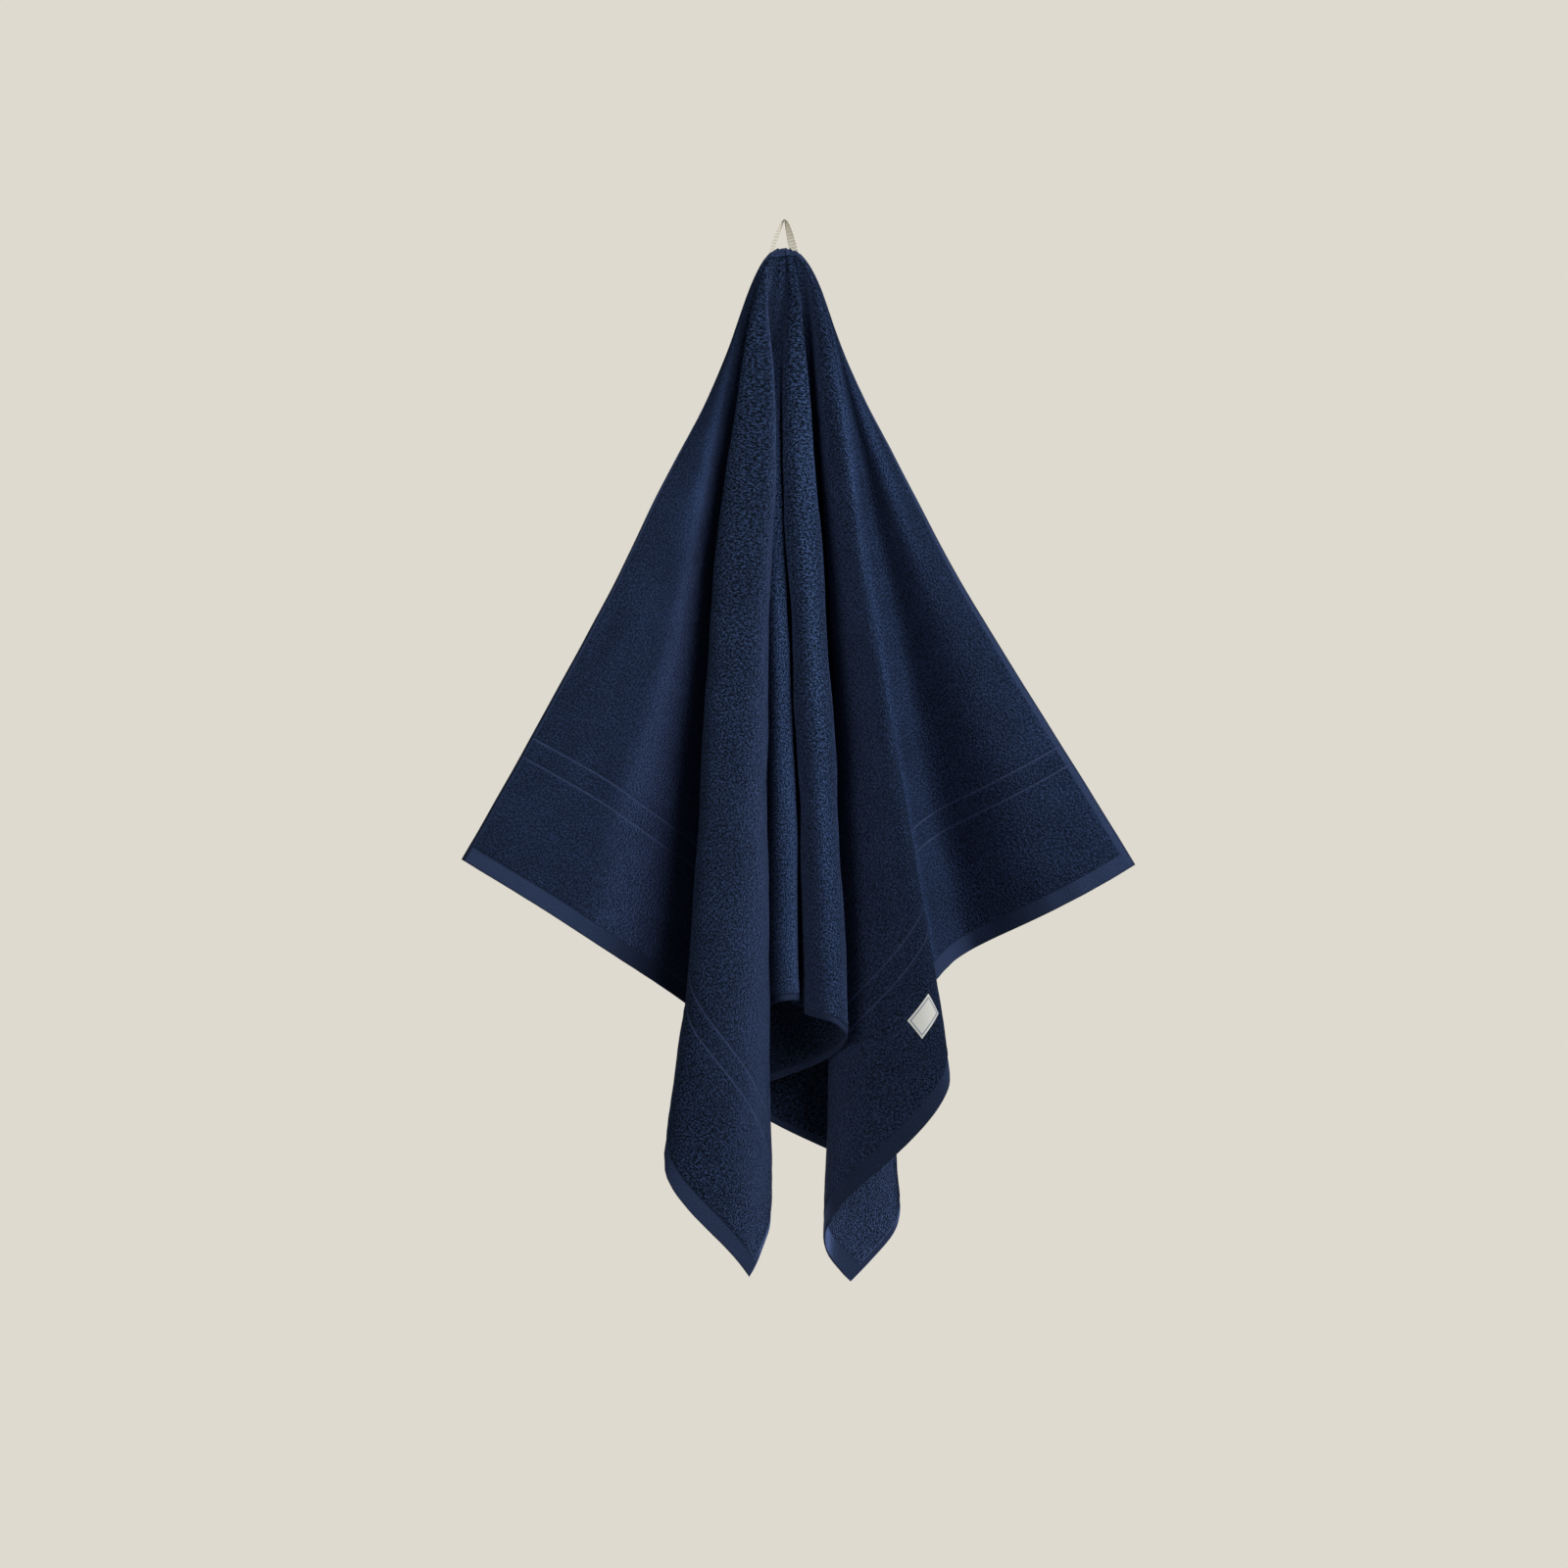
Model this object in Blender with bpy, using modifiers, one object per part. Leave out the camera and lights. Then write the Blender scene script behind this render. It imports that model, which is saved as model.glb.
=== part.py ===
"""Bath towel hung by the loop on its long side, with its hang loop and its woven label.

The towel is one sheet. A point of the flat towel is named by the angle of the straight
line that joins it to the loop (0 along the top edge to the left, 180 to the right) and by
its distance along that line. The fold table says where each fold line hangs, seen from
the front (x) and how far out toward the viewer, at a few distances below the loop.
Lengths in the tables are millimetres. The origin is the hang point inside the loop.
"""
import math

import bpy
import numpy as np

MM = 0.001

# The flat towel
LEFT_LENGTH = 657.0
RIGHT_LENGTH = 675.0
WIDTH = 711.0
CLOTH_THICKNESS = 3.2

# The gathered top edge below the loop
GATHER_HALF = 12.0
TOP_DROP = 27.0
DOME_DROP = 8.0
NECK_RADIUS = 29.0
NECK_SHIFT = 0.8
STATION_POWER = 0.75

# Distances below the gathered edge at which the fold table gives positions
STATIONS = (0.0, 30.0, 120.0, 350.0, 700.0, 980.0)

# Each row is one fold line of the cloth, from the left edge to the right edge.
# steps is the number of mesh columns between this line and the next one.
FOLD_COLUMNS = ("name", "angle", "steps", "out_30", "x_120", "out_120",
                "x_350", "out_350", "x_700", "out_700", "x_980", "out_980")
FOLDS = (
    ("left_edge",       0.0, 6, -9.0, -60, -24, -163, -26, -333, -26, -464, -26),
    ("left_ridge",     16.0, 5, -6.0, -53, -12, -100,  18, -190,  42, -263,  64),
    ("left_valley_a",  28.0, 2, -3.5, -40, -16,  -57, -18,  -75, -20,  -89, -20),
    ("left_valley_b",  32.0, 5, -2.5, -32, -14,  -44, -16,  -57, -16,  -70, -16),
    ("front1_left",    42.3, 3,  0.5, -38,   7,  -65,  46,  -86, 104, -118, 116),
    ("front1_mid",     46.5, 3,  2.0, -27,  14,  -44,  62,  -54, 122,  -44, 136),
    ("front1_right",   50.5, 5,  2.0, -14,  11,  -19,  54,  -20, 110,  -12, 114),
    ("inner_side",     60.0, 3, -0.5, -18,   1,  -34,  16,  -42,  40,  -44,  50),
    ("inner_valley_a", 71.0, 2, -1.5, -21,  -7,  -38,  -7,  -44,   4,  -46,   8),
    ("inner_valley_b", 77.5, 4, -1.5, -14,  -8,  -23,  -7,  -28,   4,  -32,   6),
    ("strip_left",     86.0, 3, -1.0,  -9,  -4,   -8,  36,   -5,  82,   -8, 110),
    ("strip_right",    89.5, 4, -0.7,  -5,  -3,    2,  35,   12,  80,   13, 110),
    ("pleat_a",        94.0, 2, -0.2,  -3,  -3,    0,  17,    7,  44,    7,  54),
    ("pleat_b",        96.5, 4,  0.3,   0,  -1,    9,  17,   21,  44,   24,  54),
    ("front2_left",   100.5, 3,  1.5,   2,   6,    8,  45,   21,  84,   24, 116),
    ("front2_mid",    103.5, 3,  2.0,   9,  12,   22,  58,   40, 104,   50, 136),
    ("front2_right",  107.0, 4,  1.5,  19,  10,   36,  48,   55,  90,   64, 120),
    ("mouth_side",    112.5, 4,  0.0,  17,  -4,   26,  14,   29,  37,   30,  46),
    ("back_left",     118.5, 4, -2.0,  10, -14,   -8, -15,  -30, -13,  -44, -13),
    ("back_right_a",  127.0, 3, -2.5,  24, -17,   55, -20,   82, -21,  102, -21),
    ("back_right_b",  131.0, 3, -2.2,  29, -12,   59,  -9,   86,  -7,  102,   0),
    ("front3_left",   135.0, 4, -1.0,  31,  -3,   46,   2,   48,  15,   38,  60),
    ("front3_mid",    141.0, 4,  0.3,  38,   9,   61,  38,   90,  98,  104, 126),
    ("front3_right",  147.5, 4,  0.3,  48,   8,   80,  43,  136, 100,  178, 122),
    ("right_pleat_a", 153.3, 2, -2.2,  43,  -7,   70,   7,  119,  31,  150,  36),
    ("right_pleat_b", 156.0, 3, -3.0,  45, -12,   75,  -9,  126,  -2,  157,   4),
    ("right_pleat_c", 160.0, 3, -3.8,  50,  -8,   83,   9,  140,  35,  173,  46),
    ("right_front",   165.0, 4, -5.0,  54, -14,  101, -12,  167, -16,  226, -18),
    ("right_mid",     172.0, 4, -7.0,  58, -16,  134,  -5,  248, -11,  346, -18),
    ("right_edge",    180.0, 0, -9.0,  62, -24,  169, -26,  353, -26,  487, -26),
)
ROWS_DOWN = 21
ROW_POWER = 1.25
FINE_ROWS = 160

# The label: place of its middle on the flat towel, from the loop, and its size
LABEL_U = 606.0
LABEL_V = 430.0
LABEL_ALONG = 36.0
LABEL_ACROSS = 23.0
LABEL_THICKNESS = 0.6
LABEL_LIFT = 0.9
LABEL_CELLS = (6, 8)

# The hang loop: the middle line of the tape, how far it is turned, and its size.
# turn 0 lays the width of the tape along x, 90 along the depth.
TAPE_COLUMNS = ("x", "out", "z", "turn")
TAPE_PATH = (
    (-7.0, -5.4, -47.0, 0.0),
    (-10.5, -6.6, -42.0, 25.0),
    (-12.8, -8.6, -36.0, 60.0),
    (-11.2, -7.4, -27.0, 68.0),
    (-8.0, -4.4, -17.0, 70.0),
    (-4.2, -1.6, -7.5, 72.0),
    (-1.6, -0.4, -1.8, 80.0),
    (0.4, 0.0, -0.4, 92.0),
    (2.2, -0.2, -2.2, 106.0),
    (4.0, -0.9, -7.5, 122.0),
    (6.6, -2.6, -17.0, 138.0),
    (9.2, -4.6, -27.0, 150.0),
    (10.6, -6.2, -36.0, 162.0),
    (9.6, -6.0, -42.0, 172.0),
    (8.0, -5.4, -47.0, 180.0),
)
TAPE_WIDTH = 10.0
TAPE_THICKNESS = 0.8
TAPE_STEPS = 3
TAPE_CELLS = 4

TOWEL_LOOK = ((0.030, 0.052, 0.125, 1.0), 0.95)
LOOP_LOOK = ((0.72, 0.72, 0.69, 1.0), 0.8)
LABEL_LOOK = ((0.80, 0.80, 0.78, 1.0), 0.7)


def clear_scene():
    for item in list(bpy.data.objects):
        bpy.data.objects.remove(item, do_unlink=True)


def column(table, names, name):
    return np.array([float(row[names.index(name)]) for row in table])


def spline_weights(knots, at):
    """Weights of a smooth curve through the knots: each row gives one point of the curve
    as a mix of the values at the knots. The curve has no bend at its two ends."""
    knots, at = np.asarray(knots, float), np.asarray(at, float)
    count, gap = len(knots), np.diff(knots)
    left, right = np.eye(count), np.zeros((count, count))
    for i in range(1, count - 1):
        left[i, i - 1:i + 2] = gap[i - 1], 2 * (gap[i - 1] + gap[i]), gap[i]
        right[i, i - 1:i + 2] = 6 / gap[i - 1], -6 / gap[i - 1] - 6 / gap[i], 6 / gap[i]
    bend = np.linalg.solve(left, right)
    cell = np.clip(np.searchsorted(knots, at, side="right") - 1, 0, count - 2)
    width = gap[cell]
    b = (at - knots[cell]) / width
    a = 1 - b
    eye = np.eye(count)
    bend_a, bend_b = (a ** 3 - a) * width ** 2 / 6, (b ** 3 - b) * width ** 2 / 6
    return (a[..., None] * eye[cell] + b[..., None] * eye[cell + 1]
            + bend_a[..., None] * bend[cell] + bend_b[..., None] * bend[cell + 1])


def gather_share(angle):
    """1 at the left end of the gathered edge, 0 below the loop, -1 at the right end."""
    return 1 - np.asarray(angle, float) / 90


def line_length(angle):
    """Cloth between the gathered edge and the rim of the towel along each line."""
    turn, share = np.radians(angle), gather_share(angle)
    down, side = np.maximum(np.sin(turn), 1e-9), np.cos(turn)
    half = np.where(side > 0, LEFT_LENGTH - GATHER_HALF * share,
                    RIGHT_LENGTH + GATHER_HALF * share)
    return np.minimum(WIDTH / down, half / np.maximum(np.abs(side), 1e-9))


def corner_angles():
    """Angles of the two lines that run from the loop to the two lower corners."""
    left, right = 47.0, 133.0
    for _ in range(20):
        left = math.degrees(math.atan2(WIDTH, LEFT_LENGTH - GATHER_HALF * gather_share(left)))
        reach = RIGHT_LENGTH + GATHER_HALF * gather_share(right)
        right = 180 - math.degrees(math.atan2(WIDTH, reach))
    return left, right


def station_tables():
    """x and out of every fold line at every station, the stations across."""
    angle = column(FOLDS, FOLD_COLUMNS, "angle")
    across = [-GATHER_HALF * gather_share(angle),
              NECK_SHIFT - NECK_RADIUS * np.cos(np.radians(angle))]
    out = [np.zeros_like(angle), column(FOLDS, FOLD_COLUMNS, "out_30")]
    for station in STATIONS[2:]:
        across.append(column(FOLDS, FOLD_COLUMNS, "x_%d" % station))
        out.append(column(FOLDS, FOLD_COLUMNS, "out_%d" % station))
    return angle, np.stack(across, 1), np.stack(out, 1)


def hang(angle, distance):
    """Points of the middle of the sheet, for lines at the given angles and for a grid of
    distances along them (one row of distances a line). The cloth does not stretch along
    a line, so each step goes down by what the step across and out leaves of its length."""
    angle = np.asarray(angle, float)
    knots, across, out = station_tables()
    by_angle = spline_weights(knots, angle)
    fine = np.linspace(0, 1, FINE_ROWS) ** 1.5
    length = line_length(angle)[:, None] * 1.0005 * fine[None, :]
    by_station = spline_weights(np.array(STATIONS) ** STATION_POWER, length ** STATION_POWER)
    x = np.einsum("ik,ijk->ij", by_angle @ across, by_station)
    o = np.einsum("ik,ijk->ij", by_angle @ out, by_station)
    step = np.diff(length, axis=1)
    drop = np.sqrt(np.maximum(step ** 2 - np.diff(x, axis=1) ** 2 - np.diff(o, axis=1) ** 2,
                              (0.2 * step) ** 2))
    z = np.zeros_like(x)
    z[:, 1:] = -np.cumsum(drop, axis=1)
    z -= TOP_DROP + DOME_DROP * gather_share(angle)[:, None] ** 2
    points = np.empty(distance.shape + (3,))
    for i in range(len(angle)):
        points[i, :, 0] = np.interp(distance[i], length[i], x[i])
        points[i, :, 1] = -np.interp(distance[i], length[i], o[i])
        points[i, :, 2] = np.interp(distance[i], length[i], z[i])
    return points


def line_of(u, v):
    """Angle and distance of the points u across and v down on the flat towel."""
    angle = np.degrees(np.arctan2(v, -u))
    for _ in range(30):
        angle = np.degrees(np.arctan2(v, -u - GATHER_HALF * gather_share(angle)))
    return angle, v / np.sin(np.radians(angle))


def mesh_angles():
    """The angles of the mesh columns; the column nearest each lower corner is moved to it."""
    angle = column(FOLDS, FOLD_COLUMNS, "angle")
    parts = [np.linspace(angle[i], angle[i + 1], int(FOLDS[i][2]) + 1)[:-1]
             for i in range(len(FOLDS) - 1)]
    angles = np.concatenate(parts + [angle[-1:]])
    for corner in corner_angles():
        angles[np.argmin(np.abs(angles - corner))] = corner
    return angles


def new_object(collection, name, points, faces, look):
    mesh = bpy.data.meshes.new(name)
    mesh.from_pydata((points * MM).tolist(), [], faces)
    mesh.update()
    item = bpy.data.objects.new(name, mesh)
    collection.objects.link(item)
    item.data.materials.append(plain_material(name, *look))
    return item


def plain_material(name, colour, roughness):
    material = bpy.data.materials.new(name)
    material.use_nodes = True
    shader = material.node_tree.nodes["Principled BSDF"]
    shader.inputs["Base Color"].default_value = colour
    shader.inputs["Roughness"].default_value = roughness
    shader.inputs["Metallic"].default_value = 0.0
    material.diffuse_color = colour
    return material


def grid_faces(columns, rows):
    """Quads of a grid whose points are listed column by column."""
    return [(c * rows + r, c * rows + r + 1, (c + 1) * rows + r + 1, (c + 1) * rows + r)
            for c in range(columns - 1) for r in range(rows - 1)]


def thicken(item, thickness):
    shell = item.modifiers.new("thickness", "SOLIDIFY")
    shell.thickness = thickness * MM
    shell.offset = 0.0
    shell.use_even_offset = False
    return shell


def build_towel(collection):
    angles = mesh_angles()
    share = np.linspace(0, 1, ROWS_DOWN) ** ROW_POWER
    points = hang(angles, line_length(angles)[:, None] * share[None, :])
    faces = grid_faces(len(angles), ROWS_DOWN)
    towel = new_object(collection, "towel", points.reshape(-1, 3), faces, TOWEL_LOOK)
    thicken(towel, CLOTH_THICKNESS)


def unit(vectors):
    return vectors / np.linalg.norm(vectors, axis=-1, keepdims=True)


def front_normals(grid):
    """Directions square to a grid of points, on the side of the towel's face."""
    return unit(np.cross(np.gradient(grid, axis=1), np.gradient(grid, axis=0)))


def build_label(collection):
    """A rectangle of the flat towel, lifted off the face of the hung cloth."""
    across = LABEL_U + LABEL_ACROSS * np.linspace(-0.5, 0.5, LABEL_CELLS[0] + 1)
    down = LABEL_V + LABEL_ALONG * np.linspace(-0.5, 0.5, LABEL_CELLS[1] + 1)
    u, v = np.meshgrid(across, down, indexing="ij")
    angle, distance = line_of(u.ravel(), v.ravel())
    grid = hang(angle, distance[:, None]).reshape(u.shape + (3,))
    lift = (CLOTH_THICKNESS + LABEL_THICKNESS) / 2 + LABEL_LIFT
    grid = grid + lift * front_normals(grid)
    faces = grid_faces(*grid.shape[:2])
    label = new_object(collection, "label", grid.reshape(-1, 3), faces, LABEL_LOOK)
    thicken(label, LABEL_THICKNESS)


def build_loop(collection):
    """The woven tape: a flat strip swept along its middle line while it turns."""
    knots = np.arange(len(TAPE_PATH), dtype=float)
    weights = spline_weights(knots, np.linspace(0, knots[-1], len(knots) * TAPE_STEPS))
    x, out, z, turn = (weights @ column(TAPE_PATH, TAPE_COLUMNS, name) for name in TAPE_COLUMNS)
    middle = np.stack([x, -out, z], 1)
    along = unit(np.gradient(middle, axis=0))
    side = np.stack([np.cos(np.radians(turn)), np.sin(np.radians(turn)), 0 * turn], 1)
    side = unit(side - along * np.sum(side * along, axis=1, keepdims=True))
    places = TAPE_WIDTH * np.linspace(-0.5, 0.5, TAPE_CELLS + 1)
    grid = middle[:, None, :] + places[None, :, None] * side[:, None, :]
    faces = grid_faces(*grid.shape[:2])
    loop = new_object(collection, "hang_loop", grid.reshape(-1, 3), faces, LOOP_LOOK)
    thicken(loop, TAPE_THICKNESS)


def main():
    clear_scene()
    collection = bpy.data.collections.new("bath_towel")
    bpy.context.scene.collection.children.link(collection)
    build_towel(collection)
    build_label(collection)
    build_loop(collection)


main()
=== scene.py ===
# %% [markdown]
# # A bath towel hung by its loop
# The towel is one sheet of navy terry. A small woven loop is sewn at the middle of one long
# side, and the towel hangs from it, so the sides spread out, the middle is gathered into deep
# folds and the two far corners hang as points. Three things carry the look: the folds, the
# looped pile that hardly reflects any light, and the flat woven hems that stand out from it.
# First the frame is loaded. It holds the plain solids, and every piece made here fits them.

import bpy
import numpy as np
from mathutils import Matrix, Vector


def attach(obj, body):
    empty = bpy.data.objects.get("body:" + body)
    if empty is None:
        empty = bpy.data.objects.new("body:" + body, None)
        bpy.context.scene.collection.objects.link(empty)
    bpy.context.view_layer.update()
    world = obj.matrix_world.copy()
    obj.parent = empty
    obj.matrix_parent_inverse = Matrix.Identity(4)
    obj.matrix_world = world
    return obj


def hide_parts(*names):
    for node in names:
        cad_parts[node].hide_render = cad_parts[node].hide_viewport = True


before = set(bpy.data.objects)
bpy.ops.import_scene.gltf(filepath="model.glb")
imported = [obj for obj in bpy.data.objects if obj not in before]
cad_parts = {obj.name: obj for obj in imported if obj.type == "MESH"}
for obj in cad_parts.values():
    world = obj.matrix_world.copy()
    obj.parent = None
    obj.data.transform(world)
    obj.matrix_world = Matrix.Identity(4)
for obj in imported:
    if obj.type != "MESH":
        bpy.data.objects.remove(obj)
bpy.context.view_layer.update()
MM = 0.001

# %% [markdown]
# ## Camera, light and floor
# The picture is taken straight on, about three metres away and at the height of the middle of
# the towel, with a short tele lens. Dark cotton shows its folds only through shade. So one
# large soft light, a window on the right, models them, a weak one on the left keeps their
# shaded sides readable, and one from behind does what a pale wall would do for the back. The
# surrounding is mixed by Light Path: the camera sees it pale, but it lights the cloth only a
# quarter as much, which keeps the deep folds nearly black.


# %% Colours, nodes and objects
def linear(hex_colour):
    """A colour written as sRGB hex, turned into the linear values that nodes use."""
    values = np.array([int(hex_colour[i:i + 2], 16) for i in (1, 3, 5)]) / 255
    low = values / 12.92
    high = ((values + 0.055) / 1.055) ** 2.4
    return (*np.where(values <= 0.04045, low, high).tolist(), 1.0)


def add(tree, kind, links=(), **settings):
    """Add one node, give it its settings and link its inputs to (input, socket) pairs."""
    node = tree.nodes.new(kind)
    inputs = settings.pop("inputs", {})
    for name, value in settings.items():
        setattr(node, name, value)
    for name, value in inputs.items():
        node.inputs[name].default_value = value
    for name, socket in links:
        tree.links.new(socket, node.inputs[name])
    return node


def put(name, data):
    """Link a new object that stands at the origin, unturned."""
    item = bpy.data.objects.new(name, data)
    bpy.context.scene.collection.objects.link(item)
    return item


def blank_material(name):
    """A new material, its node tree and its main shader."""
    material = bpy.data.materials.new(name)
    material.use_nodes = True
    return material, material.node_tree, material.node_tree.nodes["Principled BSDF"]


PALE = "#dedad0"
print("the pale surrounding in linear values:", linear(PALE))

# %% Camera and lights
CAMERA_AT = (0.0, -2.970, -0.5322)
eye = bpy.data.cameras.new("camera")
eye.lens = 72.3
eye.sensor_width = 36.0
camera = put("camera", eye)
camera.location = CAMERA_AT
camera.rotation_euler = (np.pi / 2, 0, 0)
bpy.context.scene.camera = camera

# name, place, what it points at, width, height, watts, colour
LIGHTS = (
    ("window", (1.6, -2.35, 0.7), (0.0, 0.0, -0.55), 2.0, 1.5, 138.0, "#fffdf8"),
    ("room_side", (-2.0, -2.2, 0.2), (-0.1, 0.0, -0.6), 1.8, 1.8, 34.0, "#fffaf0"),
    ("from_behind", (0.0, 1.9, -0.3), (0.0, 0.0, -0.5), 2.4, 2.0, 45.0, "#fff6e6"),
)


def light(name, place, target, width, height, watts, colour):
    """A soft rectangle of light that points at a spot on the towel."""
    lamp = bpy.data.lights.new(name, "AREA")
    lamp.shape = "RECTANGLE"
    lamp.size, lamp.size_y = width, height
    lamp.energy = watts
    lamp.color = linear(colour)[:3]
    item = put(name, lamp)
    item.location = place
    item.visible_camera = False
    item.rotation_euler = (Vector(target) - Vector(place)).to_track_quat("-Z", "Y").to_euler()


for row in LIGHTS:
    light(*row)
print("camera", CAMERA_AT, "lens", eye.lens, "lights", [row[0] for row in LIGHTS])

# %% Surrounding and floor
ROOM_LIGHT = 0.25
FLOOR_RADIUS, FLOOR_DOWN, FLOOR_CORNERS = 0.75, 1.95, 96

bpy.context.scene.view_settings.view_transform = "Standard"
world = bpy.data.worlds.new("pale_room")
bpy.context.scene.world = world
world.use_nodes = True
seen = world.node_tree.nodes["Background"]
seen.inputs["Color"].default_value = linear(PALE)
lighting = add(world.node_tree, "ShaderNodeBackground",
               inputs={"Color": linear(PALE), "Strength": ROOM_LIGHT})
either = add(world.node_tree, "ShaderNodeMixShader", [
    (0, add(world.node_tree, "ShaderNodeLightPath").outputs["Is Camera Ray"]),
    (1, lighting.outputs[0]), (2, seen.outputs[0])])
world.node_tree.links.new(either.outputs[0], world.node_tree.nodes["World Output"].inputs[0])

ring = np.linspace(0, 2 * np.pi, FLOOR_CORNERS, endpoint=False)
floor_points = np.stack([FLOOR_RADIUS * np.cos(ring), FLOOR_RADIUS * np.sin(ring),
                         0 * ring - FLOOR_DOWN], 1)
floor_mesh = bpy.data.meshes.new("floor")
floor_mesh.from_pydata(floor_points.tolist(), [], [list(range(FLOOR_CORNERS))])
floor = put("floor", floor_mesh)
paint, _, paint_shader = blank_material("floor_matt_paint")
paint_shader.inputs["Base Color"].default_value = linear(PALE)
paint_shader.inputs["Roughness"].default_value = 0.9
floor_mesh.materials.append(paint)
print("floor", FLOOR_DOWN, "m below the loop, room light", ROOM_LIGHT)

# %% [markdown]
# ## The shape of the hung cloth
# Cloth bends but hardly stretches. So the shape is not pushed and pulled by hand: each straight
# line from the loop to the rim of the flat towel keeps its length when it hangs. The table says
# where the fold lines hang, seen from the front (x) and how far out, at a few distances below
# the loop. What is left of each step's length goes down. Lengths are millimetres.

# %% The fold table
LEFT_LENGTH, RIGHT_LENGTH, WIDTH = 657.0, 675.0, 711.0
GATHER_HALF, TOP_DROP, DOME_DROP = 12.0, 27.0, 8.0
NECK_RADIUS, NECK_SHIFT, STATION_POWER = 29.0, 0.8, 0.75
STATIONS = (0.0, 30.0, 120.0, 350.0, 700.0, 980.0)

# angle is the way the line runs on the flat towel: 0 along the edge to the left, 90 straight
# down and 180 along the edge to the right. steps is how finely the mesh is divided from this
# line to the next, and each x and out belongs to one distance below the loop
FOLD_COLUMNS = ("name", "angle", "steps", "out_30", "x_120", "out_120",
                "x_350", "out_350", "x_700", "out_700", "x_980", "out_980")
FOLDS = (
    ("left_edge",       0.0, 6, -9.0, -60, -24, -163, -26, -333, -26, -464, -26),
    ("left_ridge",     16.0, 5, -6.0, -53, -12, -100,  18, -190,  42, -263,  64),
    ("left_valley_a",  28.0, 2, -3.5, -40, -16,  -57, -18,  -75, -20,  -89, -20),
    ("left_valley_b",  32.0, 5, -2.5, -32, -14,  -44, -16,  -57, -16,  -70, -16),
    ("front1_left",    42.3, 3,  0.5, -38,   7,  -65,  46,  -86, 104, -118, 116),
    ("front1_mid",     46.5, 3,  3.2, -27,  14,  -44,  62,  -54, 122,  -44, 136),
    ("front1_right",   50.5, 5,  3.0, -14,  11,  -19,  54,  -20, 110,  -12, 114),
    ("inner_side",     60.0, 3, -0.5, -18,   1,  -34,  16,  -42,  40,  -44,  50),
    ("inner_valley_a", 71.0, 2, -1.5, -21,  -7,  -38,  -7,  -44,   4,  -46,   8),
    ("inner_valley_b", 77.5, 4, -1.5, -14,  -8,  -23,  -7,  -28,   4,  -32,   6),
    ("strip_left",     86.0, 3, -2.6,  -9,  -4,   -8,  36,   -5,  82,   -8, 110),
    ("strip_right",    89.5, 4, -3.2,  -5,  -3,    2,  35,   12,  80,   13, 110),
    ("pleat_a",        94.0, 2, -2.6,  -3,  -3,    0,  20,    8,  53,    8,  63),
    ("pleat_b",        96.5, 4, -1.2,   0,  -1,    9,  20,   20,  53,   23,  63),
    ("front2_left",   100.5, 3,  2.4,   2,   6,    8,  45,   21,  84,   24, 116),
    ("front2_mid",    103.5, 3,  3.6,   9,  12,   22,  58,   40, 104,   50, 136),
    ("front2_right",  107.0, 4,  2.6,  19,  10,   36,  48,   55,  90,   64, 120),
    ("mouth_side",    112.5, 4, -1.6,  17,  -4,   26,  14,   29,  37,   30,  46),
    ("back_left",     118.5, 4, -2.0,  10, -14,   -8, -15,  -30, -13,  -44, -13),
    ("back_right_a",  127.0, 3, -2.5,  24, -17,   55, -20,   82, -21,  102, -21),
    ("back_right_b",  131.0, 3, -2.2,  29, -12,   59,  -9,   86,  -7,  102,   0),
    ("front3_left",   135.0, 4, -1.0,  31,  -3,   46,   2,   48,  15,   38,  60),
    ("front3_mid",    141.0, 4,  0.3,  38,   9,   61,  38,   90,  98,  104, 126),
    ("front3_right",  147.5, 4,  0.3,  48,   8,   80,  43,  136, 100,  178, 122),
    ("right_pleat_a", 153.3, 2, -2.2,  43,  -7,   70,   7,  119,  31,  150,  36),
    ("right_pleat_b", 156.0, 3, -3.0,  45, -12,   75,  -9,  126,  -2,  157,   4),
    ("right_pleat_c", 160.0, 3, -3.8,  50,  -8,   80,   9,  136,  35,  171,  46),
    ("right_front",   165.0, 4, -5.0,  54, -14,  101, -12,  167, -16,  226, -18),
    ("right_mid",     172.0, 4, -7.0,  58, -16,  134,  -5,  248, -11,  346, -18),
    ("right_edge",    180.0, 0, -9.0,  62, -24,  169, -26,  353, -26,  487, -26),
)
print(len(FOLDS), "fold lines,", len(STATIONS), "distances")


# %% Smooth curves through the table
def table_column(table, names, name):
    """One named column of a table, as numbers."""
    return np.array([float(row[names.index(name)]) for row in table])


def spline_weights(knots, at):
    """Weights of a smooth curve through the knots: each row gives one point of the curve
    as a mix of the values at the knots. The curve has no bend at its two ends."""
    knots, at = np.asarray(knots, float), np.asarray(at, float)
    count, gap = len(knots), np.diff(knots)
    left, right = np.eye(count), np.zeros((count, count))
    for i in range(1, count - 1):
        left[i, i - 1:i + 2] = gap[i - 1], 2 * (gap[i - 1] + gap[i]), gap[i]
        right[i, i - 1:i + 2] = 6 / gap[i - 1], -6 / gap[i - 1] - 6 / gap[i], 6 / gap[i]
    bend = np.linalg.solve(left, right)
    cell = np.clip(np.searchsorted(knots, at, side="right") - 1, 0, count - 2)
    width = gap[cell]
    b = (at - knots[cell]) / width
    a = 1 - b
    eye_rows = np.eye(count)
    bend_a, bend_b = (a ** 3 - a) * width ** 2 / 6, (b ** 3 - b) * width ** 2 / 6
    return (a[..., None] * eye_rows[cell] + b[..., None] * eye_rows[cell + 1]
            + bend_a[..., None] * bend[cell] + bend_b[..., None] * bend[cell + 1])


def gather_share(angle):
    """1 at the left end of the gathered edge, 0 below the loop, -1 at the right end."""
    return 1 - np.asarray(angle, float) / 90


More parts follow.
